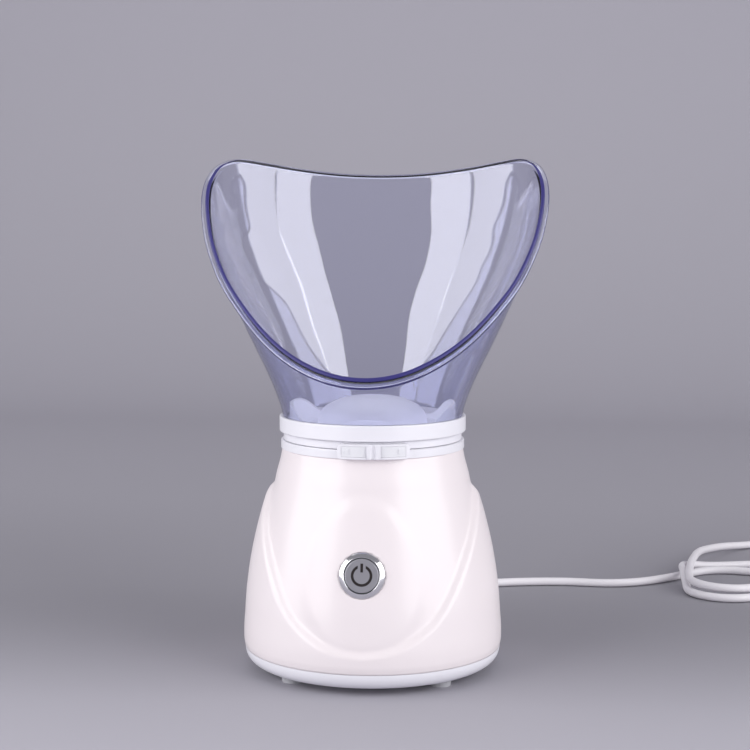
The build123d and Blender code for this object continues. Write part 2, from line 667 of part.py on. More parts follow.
def terminal_block():
    x, y = TERMINAL
    height = TERMINAL_TOP_Z - COVER_FLOOR_Z
    body = block((18.0, 10.0, height), (x, y, COVER_FLOOR_Z + height / 2))
    for side in (-5.5, 0, 5.5):
        body = body - Pos(x + side, y, 0) * disc(1.9, TERMINAL_TOP_Z - 5, TERMINAL_TOP_Z + 1)
    return body


def heater_wires():
    """Two wires from the terminal block to the heater's cold ends."""
    front = TERMINAL[1] - 5.1
    pair = []
    for x_block, x_end in ((-2.0, -4.6), (9.0, 4.6)):
        pair.append(wire_along([(x_block, front, 18), (x_block * 0.9, 28, 18),
                                (x_end, 21, 21), (x_end, 17.6, 24)], 1.8, 2.0))
    return Compound(pair)


def board_wires():
    """Pair of wires from the board's connector along the base to the terminal block."""
    front = TERMINAL[1] - 5.1
    pair = []
    for x, x_block in ((-2.0, 1.0), (2.0, 7.0)):
        pair.append(wire_along([(x, -41.6, 43.4), (x, -44.5, 28), (x * 1.2, -42, 10),
                                (x_block, front, 10)], 1.6, 4.0))
    return Compound(pair)


# ---------------------------------------------------------------- write one file for each piece
PIECES = [
    housing_shell, base_cover, rubber_feet, base_screws, button_bezel, power_button, power_symbol,
    switch_body, switch_plunger, control_board, board_screws, board_components, water_chamber,
    chamber_gasket, chamber_screws, chamber_lid, heater_plate, heater_seal, heater_element,
    heater_bracket, heater_posts, heater_screws, thermostat, thermal_fuse, top_deck, steam_lever,
    lever_pads, steam_shutter, steam_tray, steam_hood, face_mask, mask_ring, cord_gland,
    power_cord, cord_coil, plug_body, plug_pins, inner_lead, cord_clamp, cord_clamp_screws,
    terminal_block, heater_wires, board_wires,
]

os.makedirs("parts", exist_ok=True)
for piece in PIECES:
    export_step(piece(), f"parts/{piece.__name__}.step")
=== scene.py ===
"""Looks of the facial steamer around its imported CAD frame. Blender 4.5, metres, same frame as the CAD."""

import json
import math

import bmesh
import bpy
import numpy as np
from mathutils import Matrix, Vector


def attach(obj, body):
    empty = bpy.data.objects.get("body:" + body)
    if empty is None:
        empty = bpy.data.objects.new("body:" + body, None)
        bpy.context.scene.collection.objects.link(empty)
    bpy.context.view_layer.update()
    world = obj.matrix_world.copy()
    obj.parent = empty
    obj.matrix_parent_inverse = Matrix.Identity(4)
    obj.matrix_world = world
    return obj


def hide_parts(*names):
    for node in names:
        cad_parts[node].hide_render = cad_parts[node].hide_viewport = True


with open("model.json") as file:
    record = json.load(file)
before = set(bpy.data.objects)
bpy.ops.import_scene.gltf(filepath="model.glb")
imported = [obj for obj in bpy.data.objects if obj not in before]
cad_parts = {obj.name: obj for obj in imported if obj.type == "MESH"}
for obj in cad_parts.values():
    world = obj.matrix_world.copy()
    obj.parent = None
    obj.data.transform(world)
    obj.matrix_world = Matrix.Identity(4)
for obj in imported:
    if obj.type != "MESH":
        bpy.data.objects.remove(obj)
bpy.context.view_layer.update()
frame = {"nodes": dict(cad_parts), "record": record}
MM = 0.001

# ------------------------------------------------------------------ camera
CAMERA_DISTANCE = 0.9019         # from the steamer's axis
CAMERA_HEIGHT = 0.2481
CAMERA_AZIMUTH = math.radians(5.0)
CAMERA_PITCH = 0.102             # radians below the horizon
CAMERA_LENS = 82.24
CAMERA_SHIFT_X = 0.0031


def add_camera():
    """Camera a little to the right of the front, slightly above the steamer's middle."""
    data = bpy.data.cameras.new("camera")
    data.lens = CAMERA_LENS
    data.sensor_width = 36.0
    data.shift_x = CAMERA_SHIFT_X
    camera = bpy.data.objects.new("camera", data)
    camera.location = (CAMERA_DISTANCE * math.sin(CAMERA_AZIMUTH),
                       -CAMERA_DISTANCE * math.cos(CAMERA_AZIMUTH), CAMERA_HEIGHT)
    camera.rotation_euler = (math.pi / 2 - CAMERA_PITCH, 0, CAMERA_AZIMUTH)
    bpy.context.scene.collection.objects.link(camera)
    bpy.context.scene.camera = camera


# ------------------------------------------------------------------ materials
def new_material(name):
    """Empty node material: the material, its nodes, its links and its shader."""
    material = bpy.data.materials.new(name)
    material.use_nodes = True
    nodes = material.node_tree.nodes
    shader = nodes["Principled BSDF"]
    return material, nodes, material.node_tree.links, shader


def set_inputs(shader, **values):
    """Sets sockets by name; underscores stand for the spaces in a socket's name."""
    for name, value in values.items():
        shader.inputs[name.replace("_", " ")].default_value = value


def moulded(name, color, roughness=0.35, variation=0.03, grain=700.0, grain_depth=0.00002, **extra):
    """Moulded plastic: slow colour drift, uneven gloss and a fine surface grain."""
    material, nodes, links, shader = new_material(name)
    coords = nodes.new("ShaderNodeTexCoord")
    drift = nodes.new("ShaderNodeTexNoise")
    set_inputs(drift, Scale=18.0, Detail=3.0)
    links.new(coords.outputs["Object"], drift.inputs["Vector"])
    ramp = nodes.new("ShaderNodeValToRGB")
    low = [max(0.0, c * (1 - variation)) for c in color]
    high = [min(1.0, c * (1 + variation)) for c in color]
    ramp.color_ramp.elements[0].position = 0.3
    ramp.color_ramp.elements[1].position = 0.7
    ramp.color_ramp.elements[0].color = (*low, 1)
    ramp.color_ramp.elements[1].color = (*high, 1)
    links.new(drift.outputs["Fac"], ramp.inputs["Fac"])
    links.new(ramp.outputs["Color"], shader.inputs["Base Color"])
    gloss = nodes.new("ShaderNodeMapRange")
    set_inputs(gloss, To_Min=roughness * 0.88, To_Max=roughness * 1.12)
    links.new(drift.outputs["Fac"], gloss.inputs["Value"])
    links.new(gloss.outputs["Result"], shader.inputs["Roughness"])
    fine = nodes.new("ShaderNodeTexNoise")
    set_inputs(fine, Scale=grain, Detail=2.0)
    links.new(coords.outputs["Object"], fine.inputs["Vector"])
    bump = nodes.new("ShaderNodeBump")
    set_inputs(bump, Strength=0.25, Distance=grain_depth)
    links.new(fine.outputs["Fac"], bump.inputs["Height"])
    links.new(bump.outputs["Normal"], shader.inputs["Normal"])
    set_inputs(shader, **extra)
    return material


def metal(name, color, roughness=0.2, brushed=0.0):
    """Metal with a faint uneven polish, or brush marks when brushed is above zero."""
    material, nodes, links, shader = new_material(name)
    coords = nodes.new("ShaderNodeTexCoord")
    stretch = nodes.new("ShaderNodeMapping")
    stretch.inputs["Scale"].default_value = (1, 1, 1 + 40 * brushed)
    links.new(coords.outputs["Object"], stretch.inputs["Vector"])
    noise = nodes.new("ShaderNodeTexNoise")
    set_inputs(noise, Scale=220.0, Detail=4.0)
    links.new(stretch.outputs["Vector"], noise.inputs["Vector"])
    gloss = nodes.new("ShaderNodeMapRange")
    set_inputs(gloss, To_Min=roughness * 0.8, To_Max=roughness * 1.25)
    links.new(noise.outputs["Fac"], gloss.inputs["Value"])
    links.new(gloss.outputs["Result"], shader.inputs["Roughness"])
    tone = nodes.new("ShaderNodeValToRGB")
    tone.color_ramp.elements[0].color = (*[c * 0.93 for c in color], 1)
    tone.color_ramp.elements[1].color = (*color, 1)
    links.new(noise.outputs["Fac"], tone.inputs["Fac"])
    links.new(tone.outputs["Color"], shader.inputs["Base Color"])
    set_inputs(shader, Metallic=1.0)
    return material


def clear_violet():
    """Violet-tinted clear plastic: glass with absorption, so edges and folds go dark."""
    material, nodes, links, shader = new_material("clear_violet")
    set_inputs(shader, Base_Color=(0.93, 0.94, 1.0, 1), Roughness=0.03, IOR=1.66,
               Transmission_Weight=1.0)
    absorption = nodes.new("ShaderNodeVolumeAbsorption")
    set_inputs(absorption, Color=(0.30, 0.34, 0.86, 1), Density=78.0)
    output = nodes["Material Output"]
    links.new(absorption.outputs["Volume"], output.inputs["Volume"])
    return material


def painted_rim_line_glow():
    """Painted line of deep violet that stands in for the light running along the tinted plastic's edge,
    with a painted navy glow so its shaded side does not go black.
    """
    return moulded("painted_rim_line_glow", (0.022, 0.019, 0.105), 0.40, 0.12, 400.0, 0.00001,
                   Emission_Color=(0.10, 0.085, 0.60, 1), Emission_Strength=0.12)


MATERIALS = {
    "housing_white": moulded("pearl_white", (0.82, 0.755, 0.775), 0.34, 0.008, 500.0, 0.00001,
                             Coat_Weight=0.18, Coat_Roughness=0.14),
    "ring_white": moulded("cool_white", (0.80, 0.79, 0.845), 0.34, 0.01, 600.0, 0.00001,
                          Coat_Weight=0.2, Coat_Roughness=0.12),
    # the white insert glows a little: painted light standing in for the lamp light that the clear mask
    # keeps from it
    "insert_white": moulded("insert_white", (0.80, 0.80, 0.85), 0.42, 0.012,
                            Emission_Color=(0.88, 0.88, 1.0, 1), Emission_Strength=0.22),
    "chrome": metal("chrome", (0.88, 0.88, 0.90), 0.13),
    "button_silver": moulded("button_silver", (0.34, 0.335, 0.37), 0.40, 0.03, 900.0, 0.00002,
                             Metallic=0.55),
    "symbol_dark": moulded("symbol_dark", (0.015, 0.010, 0.010), 0.4, 0.1),
    "pad_grey": moulded("pad_grey", (0.76, 0.76, 0.80), 0.5, 0.02),
    # grey of the feet, lowered to the shaded look of the gap under the base: partly their own grey, partly
    # painted shade
    "foot_rubber": moulded("foot_rubber", (0.45, 0.45, 0.48), 0.6, 0.05),
    "cord_white": moulded("cord_white", (0.76, 0.735, 0.775), 0.42, 0.02, 900.0, 0.00003),
    "silicone": moulded("silicone", (0.55, 0.56, 0.56), 0.6, 0.04),
    "aluminium": metal("aluminium", (0.72, 0.72, 0.74), 0.35, 0.4),
    "steel": metal("steel", (0.55, 0.55, 0.57), 0.3, 0.8),
    "circuit_green": moulded("circuit_green", (0.02, 0.18, 0.07), 0.35, 0.1),
    "component_black": moulded("component_black", (0.02, 0.02, 0.024), 0.45, 0.1),
    "wire_red": moulded("wire_red", (0.45, 0.04, 0.03), 0.4, 0.05),
    "terminal_white": moulded("terminal_white", (0.70, 0.70, 0.64), 0.5, 0.03),
    "pin_brass": metal("pin_brass", (0.72, 0.58, 0.30), 0.22),
    "mask_clear": clear_violet(),
}


def finish_cad_nodes():
    """Gives every carried-over CAD node the material of its slot."""
    for subpart in frame["record"]["subparts"]:
        node = frame["nodes"][subpart["node"]]
        node.data.materials.clear()
        node.data.materials.append(MATERIALS[subpart["material_slot"]])


# ------------------------------------------------------------------ mesh helpers
def mesh_object(name, vertices, faces, slot, body):
    """Smooth-shaded piece from vertices in metres, with its slot and the body that it rides on."""
    mesh = bpy.data.meshes.new(name)
    mesh.from_pydata([tuple(v) for v in vertices], [], [tuple(f) for f in faces])
    mesh.update()
    piece = bpy.data.objects.new(name, mesh)
    bpy.context.scene.collection.objects.link(piece)
    build = bmesh.new()
    build.from_mesh(mesh)
    bmesh.ops.remove_doubles(build, verts=build.verts, dist=1e-7)
    bmesh.ops.recalc_face_normals(build, faces=build.faces)
    build.to_mesh(mesh)
    build.free()
    for polygon in mesh.polygons:
        polygon.use_smooth = True
    mesh.materials.append(MATERIALS[slot])
    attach(piece, body)
    return piece


def torus_grid(columns, rows):
    """Quads of a grid that closes both ways; vertex index = column * rows + row."""
    faces = []
    for i in range(columns):
        for j in range(rows):
            a, b = i * rows, ((i + 1) % columns) * rows
            k = (j + 1) % rows
            faces.append((a + j, b + j, b + k, a + k))
    return faces


def section_piece(name, sections, place, columns, slot):
    """Piece of the base from rounded sections along Z of a frame, closed from the last to the first.

    A section is (height, half width, half depth, power); power 2 is an ellipse, more is squarer.
    """
    vertices = []
    for i in range(columns):
        turn = 2 * math.pi * i / columns
        x, y = math.cos(turn), math.sin(turn)
        for height, half_width, half_depth, power in sections:
            across = math.copysign(abs(x) ** (2 / power), x) * half_width
            deep = math.copysign(abs(y) ** (2 / power), y) * half_depth
            vertices.append(place @ (Vector((across, deep, height)) * MM))
    return mesh_object(name, vertices, torus_grid(columns, len(sections)), slot, "base")


def smoothstep(x):
    """0 up to x = 0, 1 from x = 1, and a soft S between them."""
    x = np.clip(x, 0.0, 1.0)
    return x * x * (3 - 2 * x)


def curve_through(points):
    """Smooth interpolation (monotone cubic) through (x, y) points, as a function."""
    xs = np.array([p[0] for p in points], float)
    ys = np.array([p[1] for p in points], float)
    steps = np.diff(xs)
    slopes = np.diff(ys) / steps
    tangents = np.zeros(len(xs))
    tangents[0], tangents[-1] = slopes[0], slopes[-1]
    for i in range(1, len(xs) - 1):
        if slopes[i - 1] * slopes[i] > 0:
            w1, w2 = 2 * steps[i] + steps[i - 1], steps[i] + 2 * steps[i - 1]
            tangents[i] = (w1 + w2) / (w1 / slopes[i - 1] + w2 / slopes[i])

    def value(x):
        x = np.clip(np.asarray(x, float), xs[0], xs[-1])
        i = np.clip(np.searchsorted(xs, x) - 1, 0, len(steps) - 1)
        h = steps[i]
        t = (x - xs[i]) / h
        return ((1 + 2 * t) * (1 - t) ** 2 * ys[i] + t * (1 - t) ** 2 * h * tangents[i]
                + t * t * (3 - 2 * t) * ys[i + 1] + t * t * (t - 1) * h * tangents[i + 1])
    return value


# ------------------------------------------------------------------ face mask
MASK_FLOOR_Z = 129.1
MASK_ROOT_R = 47.6
MASK_WALL = 2.2
MASK_DEPTH_RATIO = 0.45
MASK_SWAY = 0.13                 # size of the wall's slight waves
LIP_BEND = 1.0                   # inside radius of the lip's roll
LIP_TURN_SIDE = 92.0             # degrees that the lip turns at the sides and at the front
LIP_TURN_FRONT = 118.0
LIP_RUN_SIDE = 0.3               # straight part of the lip after the turn
LIP_RUN_FRONT = 2.0
BEAD_R_SIDE = 1.0                # painted dark line along the inner corner of the lip
BEAD_R_FRONT = 1.3
BEAD_FADE = (98.0, 122.0)        # degrees from the front over which it thins out to the rear
BEAD_REAR = 0.06                 # share of its radius that is left there
BEAD_PROUD_SIDE = 0.1            # its middle stands this far off the clear surface
BEAD_PROUD_FRONT = 0.6
BEAD_ANGLE_SIDE = 52.0           # its place on the roll, in degrees from the inner wall
BEAD_ANGLE_FRONT = 70.0
# half width of the wall at each height, and height of the rim at each depth
MASK_WIDTH = curve_through([(129, 47.6), (134, 47.65), (138, 48.4), (146, 51.0), (158, 56.1),
                            (172, 62.9), (190, 71.4), (210, 80.3), (232, 87.2), (255, 90.4), (280, 91.3)])
RIM_HEIGHT = curve_through([(-60, 146.4), (-51, 154.4), (-42, 164.6), (-32.8, 176.6), (-22.6, 191.2),
                            (-14, 204.4), (-7, 216.6), (-0.8, 231), (6.2, 245.6), (15.4, 257),
                            (26.4, 264.4), (37, 267), (48, 265.2), (58, 262.2), (67, 258.8), (80, 254)])


def mask_wall_point(theta, z):
    """Outer wall of the mask at an angle from the front and a height, in mm."""
    width = MASK_WIDTH(z)
    depth = MASK_ROOT_R + MASK_DEPTH_RATIO * (width - MASK_ROOT_R)
    sway = mask_sway(theta, z)
    return np.array([(width + sway) * np.sin(theta), -(depth + sway) * np.cos(theta), z])


def mask_sway(theta, z):
    """Slight waves that the moulded wall has above its root; reflections bend on them."""
    waves = (math.sin(3 * theta + 0.060 * z) + 0.7 * math.sin(5 * theta - 0.085 * z + 1.3)
             + 0.5 * math.sin(8 * theta + 0.11 * z + 0.4))
    return MASK_SWAY * waves * float(smoothstep((z - 140) / 40))


def rim_height_at(theta):
    """Height where the wall reaches the rim at this angle, by bisection."""
    low, high = 140.0, 279.0
    for _ in range(50):
        middle = (low + high) / 2
        if middle < RIM_HEIGHT(mask_wall_point(theta, middle)[1]):
            low = middle
        else:
            high = middle
    return low


def unit(vector):
    return vector / np.linalg.norm(vector)


def mask_frame(rim_point, inner_point, rim_tangent):
    """At the rim: middle of the wall, outward direction and the direction past the edge."""
    out = unit(rim_point - inner_point)
    away = unit(np.cross(unit(rim_tangent), out))
    if away[2] < 0:
        away = -away
    return (rim_point + inner_point) / 2, out, away


def mask_wall_column(theta, rows):
    """Points up the outside and the inside of the wall, from the root to the rim."""
    outer, inner = [], []
    for z in MASK_FLOOR_Z + (rim_height_at(theta) - MASK_FLOOR_Z) * np.linspace(0, 1, rows):
        point = mask_wall_point(theta, z)
        around = mask_wall_point(theta + 0.001, z) - point
        up = mask_wall_point(theta, z + 0.01) - point
        outer.append(point)
        inner.append(point - unit(np.cross(around, up)) * MASK_WALL)
    return outer, inner


def side_to_front(theta, at_side, at_front):
    """Value at an angle from the front, between the side's value and the front's."""
    return at_side + (at_front - at_side) * max(0.0, math.cos(theta)) ** 2


def lip_section(theta, middle, out, away):
    """Outline of the rolled lip, from the outer wall over the top to the inner wall."""
    turn = math.radians(side_to_front(theta, LIP_TURN_SIDE, LIP_TURN_FRONT))
    half = MASK_WALL / 2
    centre = middle + out * (half + LIP_BEND)
    under, over = [], []
    for angle in np.linspace(0.12, 1.0, 8) * turn:
        spoke = -out * math.cos(angle) + away * math.sin(angle)
        under.append(centre + spoke * LIP_BEND)
        over.append(centre + spoke * (LIP_BEND + MASK_WALL))
    run = out * math.sin(turn) + away * math.cos(turn)
    straight = side_to_front(theta, LIP_RUN_SIDE, LIP_RUN_FRONT)
    for part in (0.5, 1.0):
        under.append(under[7] + run * straight * part)
        over.append(over[7] + run * straight * part)
    edge_centre = (under[-1] + over[-1]) / 2
    across = (over[-1] - under[-1]) / 2
    edge = [edge_centre + across * math.sin(a) + run * half * math.cos(a)
            for a in np.linspace(-math.pi / 3, math.pi / 3, 5)]
    return under + edge + over[::-1]


def bead_section(theta, middle, out, away):
    """Ring of points around the painted dark line, which thins out towards the rear."""
    place = math.radians(side_to_front(theta, BEAD_ANGLE_SIDE, BEAD_ANGLE_FRONT))
    roll = away * math.sin(place) - out * math.cos(place)
    proud = side_to_front(theta, BEAD_PROUD_SIDE, BEAD_PROUD_FRONT)
    corner = middle + out * (MASK_WALL / 2 + LIP_BEND) + roll * (LIP_BEND + MASK_WALL + proud)
    from_front = math.degrees(min(theta, 2 * math.pi - theta))
    fade = float(smoothstep((from_front - BEAD_FADE[0]) / (BEAD_FADE[1] - BEAD_FADE[0])))
    radius = side_to_front(theta, BEAD_R_SIDE, BEAD_R_FRONT) * (1 - (1 - BEAD_REAR) * fade)
    return [corner + (out * math.cos(turn) + away * math.sin(turn)) * radius
            for turn in np.linspace(0, 2 * math.pi, 12, endpoint=False)]


def build_face_mask():
    """Clear wall with its rolled lip, and the painted dark line that stands in for what the lip's corner
    shows.
    """
    columns, rows = 208, 46
    angles = [2 * math.pi * i / columns for i in range(columns)]
    walls = [mask_wall_column(theta, rows) for theta in angles]
    vertices, bead = [], []
    for i, theta in enumerate(angles):
        outer, inner = walls[i]
        tangent = walls[(i + 1) % columns][0][-1] - walls[i - 1][0][-1]
        middle, out, away = mask_frame(outer[-1], inner[-1], tangent)
        vertices += outer + lip_section(theta, middle, out, away) + inner[::-1]
        bead += bead_section(theta, middle, out, away)
    mask = mesh_object("clear_mask", [v * MM for v in vertices],
                       torus_grid(columns, len(vertices) // columns), "mask_clear", "face_mask")
    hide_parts("face_mask")
    line = mesh_object("mask_rim_line", [v * MM for v in bead],
                       torus_grid(columns, len(bead) // columns), "mask_clear", "face_mask")
    line.data.materials[0] = painted_rim_line_glow()


# ------------------------------------------------------------------ housing
SEAM_Z = 12.0
NECK_Z = 118.0
# radius of the raised body and of the sunken tongue at each height
BODY_RADIUS = curve_through([(12, 68.0), (16, 68.75), (20, 68.8), (30, 68.2), (40, 67.5), (52, 66.1),
                             (64.4, 64.0), (76, 61.4), (88.8, 57.9), (93.5, 56.3), (96.5, 54.6),
                             (98.6, 53.0), (100.9, 51.7), (110, 49.3), (118, 47.8)])
TONGUE_RADIUS = curve_through([(12, 66.0), (22, 66.6), (37, 65.4), (56, 62.4), (75, 58.4), (91, 54.3),
                               (100.9, 51.7), (103.9, 51.1), (112.5, 48.8), (118, 47.8)])
# half angle of the tongue at each height, in degrees from its middle
TONGUE_EDGE = curve_through([(21.8, 0), (22.4, 6), (24.2, 13), (28.7, 22.3), (35.5, 31.4), (46, 40.2),
                             (56.5, 47.5), (67, 55.5), (76, 63.5), (86, 73.5), (95, 85), (101, 96)])
TONGUE_BOTTOM_Z = 21.8
TONGUE_TOP_Z = 101.0
LEDGE_WIDTH = 4.6
LEDGE_R = 61.0                   # radius at which widths across the ledge are measured
MOUND_HEIGHT = 0.8
MOUND_Z = 60.0
MOUND_HALF_WIDTH = 32.0
MOUND_HALF_HEIGHT = 39.0
HOUSING_WALL = 2.4
BUTTON_SEAT_R = 61.6
BUTTON_Z = 61.3
BUTTON_TILT = math.radians(11.0)
BEZEL_SEAT = -1.35               # the bezel sits in a flat round pocket
BEZEL_POCKET_R = 11.8
BEZEL_POCKET_DEPTH = 10.0
BUTTON_HOLE_R = 10.6
GLAND_HOLE_R = 5.0
CORD_EXIT_Z = 20.0


def housing_radius(theta, z):
    """Outer radius: the raised body, eased down over a sloped ledge into the tongue."""
    from_front = np.abs(np.degrees(np.arctan2(np.sin(theta), np.cos(theta))))
    from_middle = np.minimum(from_front, 180 - from_front)
    # points of the tongue's edge, closer together at its flat bottom
    edge_z = TONGUE_BOTTOM_Z + (TONGUE_TOP_Z - TONGUE_BOTTOM_Z) * np.linspace(0, 1, 200) ** 2
    edge_angle = TONGUE_EDGE(edge_z)
    scale = math.radians(1) * LEDGE_R
    gap_x = from_middle[..., None] * scale - edge_angle * scale
    gap_z = z[..., None] - edge_z
    distance = np.sqrt(gap_x ** 2 + gap_z ** 2).min(axis=-1)
    outside = (z < TONGUE_BOTTOM_Z) | (from_middle > TONGUE_EDGE(z))
    signed = np.where(outside, distance, -distance)
    raised = smoothstep(signed / LEDGE_WIDTH + 0.5)
    radius = TONGUE_RADIUS(z) + (BODY_RADIUS(z) - TONGUE_RADIUS(z)) * raised
    return radius + front_mound(from_front, z)


def front_mound(from_front, z):
    """Low oval swelling around the button, a little narrower at its top."""
    across = from_front * math.radians(1) * 60.0
    half_width = MOUND_HALF_WIDTH - 2.5 * smoothstep((z - MOUND_Z) / 40)
    oval = np.sqrt((across / half_width) ** 2 + ((z - MOUND_Z) / MOUND_HALF_HEIGHT) ** 2)
    return MOUND_HEIGHT * smoothstep((1.07 - oval) / 0.22)


def build_housing():
    """Bell-shaped shell with holes for the button, its bezel and the strain relief."""
    columns, rows = 400, 118
    theta, z = np.meshgrid(np.linspace(0, 2 * math.pi, columns, endpoint=False),
                           np.linspace(SEAM_Z + 0.1, NECK_Z, rows), indexing="ij")
    radius = housing_radius(theta, z)
    inner_z = np.linspace(NECK_Z, SEAM_Z + 0.1, 14)
    inner_radius = TONGUE_RADIUS(inner_z) - HOUSING_WALL
    vertices = []
    for i in range(columns):
        direction = (math.sin(theta[i, 0]), -math.cos(theta[i, 0]))
        seam_edge = [(radius[i, 0] - 0.5, SEAM_Z)]
        outside = list(zip(radius[i], z[i]))
        outside[-1] = (radius[i, -1], NECK_Z - 0.4)
        neck_edge = [(radius[i, -1] - 0.4, NECK_Z)]
        inside = list(zip(inner_radius, inner_z))
        for r, h in seam_edge + outside + neck_edge + inside:
            vertices.append((direction[0] * r * MM, direction[1] * r * MM, h * MM))
    housing = mesh_object("housing", vertices, torus_grid(columns, len(vertices) // columns),
                          "housing_white", "base")
    cut_cylinder(housing, along_button(0), BUTTON_HOLE_R, 60)
    cut_cylinder(housing, along_button(BEZEL_SEAT + BEZEL_POCKET_DEPTH / 2), BEZEL_POCKET_R,
                 BEZEL_POCKET_DEPTH)
    gland_hole = Matrix.Translation((0, 66 * MM, CORD_EXIT_Z * MM)) @ Matrix.Rotation(math.pi / 2, 4, "X")
    cut_cylinder(housing, gland_hole, GLAND_HOLE_R, 30)
    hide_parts("housing_shell")


def along_button(z):
    """Frame on the button's axis, z mm above the housing's surface, its Z pointing outwards."""
    place = Matrix.Translation((0, -BUTTON_SEAT_R * MM, BUTTON_Z * MM))
    place = place @ Matrix.Rotation(math.pi / 2 - BUTTON_TILT, 4, "X")
    return place @ Matrix.Translation((0, 0, z * MM))


def cut_cylinder(piece, matrix, radius, length):
    """Cuts a round hole, in mm, through a piece and applies the cut."""
    build = bmesh.new()
    bmesh.ops.create_cone(build, cap_ends=True, segments=64, radius1=radius * MM, radius2=radius * MM,
                          depth=length * MM, matrix=matrix)
    mesh = bpy.data.meshes.new("cutter")
    build.to_mesh(mesh)
    build.free()
    cutter = bpy.data.objects.new("cutter", mesh)
    bpy.context.scene.collection.objects.link(cutter)
    modifier = piece.modifiers.new("hole", "BOOLEAN")
    modifier.operation = "DIFFERENCE"
    modifier.solver = "EXACT"
    modifier.object = cutter
    bpy.context.view_layer.update()
    cut = bpy.data.meshes.new_from_object(piece.evaluated_get(bpy.context.evaluated_depsgraph_get()))
    piece.modifiers.clear()
    piece.data = cut
    bpy.data.objects.remove(cutter)


# ------------------------------------------------------------------ button bezel
# closed outline of the ring about the button's axis: radius, height over the housing
BEZEL_OUTLINE = [(11.55, -1.3), (11.7, -0.2), (11.66, 0.25), (11.45, 0.55), (9.75, 1.72), (9.35, 1.95),
                 (9.12, 1.9), (9.0, 1.6), (9.0, -8.9), (10.4, -8.9), (10.4, -1.3)]


def build_bezel():
    """Polished ring with a sloped face that catches the side lights."""
    sections = [(height, radius, radius, 2) for radius, height in BEZEL_OUTLINE]
    bezel = section_piece("bezel_ring", sections, along_button(0), 96, "chrome")
    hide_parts("button_bezel")


# ------------------------------------------------------------------ cord
CORD_DIAMETER = 5.0
CORD_Z = 2.7
LOOSE_TURN_ARCS = [              # centre x, y, radius, from and to in degrees, steps, z from and to
    (214, 205, 35, 112, 64, 2, CORD_Z, CORD_Z),
    (262, 331, 102, -94, -81, 1, CORD_Z, CORD_Z),
    (297, 268, 38, -72, 140, 8, CORD_Z, CORD_Z),
    (208, 313, 61, -42, -80, 3, CORD_Z, 3.2),
    (209.5, 223, 25, 103, 170, 3, 3.8, 7.9),
    (392, 202, 207.5, 176.5, 182.5, 2, 7.8, 3.6),
    (208.5, 181.5, 24.5, 184, 308, 5, CORD_Z, CORD_Z),
    (320, 49, 150, 125.5, 114, 1, CORD_Z, CORD_Z),
    (282, 275, 66, -63, 132, 9, CORD_Z, CORD_Z),
    (376, 202, 188, 145, 160, 2, 4.8, 9.6),
    (371, 196, 183, 167, 173, 1, 10.0, 9.8),
    (208.5, 185, 23, 172, 292, 5, 9.0, 7.6),
    (244.5, 121.5, 50, 112, 101, 1, 7.8, 7.8)]
PLUG_TAIL = (246.0, 171.6, 7.8)
PLUG_HEADING = math.radians(-10.0)


def cord_route():
    """The cord's own line: out of the relief, across the table, the loose turns, the plug."""
    free = [(0, 100.1, CORD_EXIT_Z), (0, 121, 19.5), (4, 146, 9.5), (18, 168, CORD_Z), (46, 183, CORD_Z),
            (78, 193, CORD_Z), (108, 196.5, CORD_Z), (134, 192.5, CORD_Z), (157, 199, CORD_Z),
            (176, 214, CORD_Z), (184, 222, CORD_Z)]
    into_plug = [(PLUG_TAIL[0] + ahead * math.cos(PLUG_HEADING),
                  PLUG_TAIL[1] + ahead * math.sin(PLUG_HEADING), PLUG_TAIL[2]) for ahead in (-3, 2)]
    return free + loose_turns() + into_plug


def loose_turns():
    """Turns that lie where they fell, arc after arc, and rise where they cross each other."""
    points = []
    for x, y, radius, start, end, steps, low, high in LOOSE_TURN_ARCS:
        for i in range(steps + 1):
            part = i / steps
            angle = math.radians(start + (end - start) * part)
            points.append((x + radius * math.cos(angle), y + radius * math.sin(angle),
                           low + (high - low) * part))
    return points


RELIEF_START_Y = 58.4            # inner end of the strain relief
RELIEF_NECK_Y = 69.4             # where its taper starts, outside the housing


def ribbed(start, stop, first_radius, last_radius, ribs, depth):
    """Sections of a flexible taper cut by round grooves."""
    sections = []
    pitch = (stop - start) / ribs
    for i in range(ribs):
        for part, drop in ((0.0, 0.25), (0.08, 0.0), (0.55, 0.0), (0.66, 1.0), (0.92, 1.0)):
            along = (i + part) * pitch
            radius = first_radius + (last_radius - first_radius) * along / (stop - start) - depth * drop
            sections.append((start + along, radius, radius, 2))
    return sections + [(stop, last_radius, last_radius, 2)]


def build_relief():
    """Grooved taper that guides the cord out of the housing, with its inner collar."""
    def round_part(y, radius):
        return (y, radius, radius, 2)

    first, neck = RELIEF_START_Y, RELIEF_NECK_Y
    sections = [round_part(first, 0), round_part(first, 7.0), round_part(first + 3, 7.0),
                round_part(first + 3, 4.9), round_part(neck, 4.9)]
    sections += ribbed(neck, 99.6, 5.6, 3.5, 9, 0.7) + [round_part(100, 3.1), round_part(100, 0)]
    place = Matrix.Translation((0, 0, CORD_EXIT_Z * MM)) @ Matrix.Rotation(-math.pi / 2, 4, "X")
    relief = section_piece("ribbed_relief", sections, place, 48, "cord_white")
    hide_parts("cord_gland")
    return relief


# body of the plug from its tail to its face: distance, half width, half height, squareness
PLUG_SECTIONS = [(18.2, 7.0, 5.6, 2.4), (18.6, 10.2, 6.3, 3.2), (20, 12.2, 7.1, 4.2), (23, 13.0, 7.45, 4.6),
                 (30, 12.4, 7.0, 4.6), (38, 12.2, 6.9, 4.6), (45, 12.9, 7.4, 4.6), (48.6, 12.9, 7.4, 4.6),
                 (49.6, 12.4, 6.9, 4.4), (50, 11.6, 6.1, 4.2), (50, 0, 0, 2)]


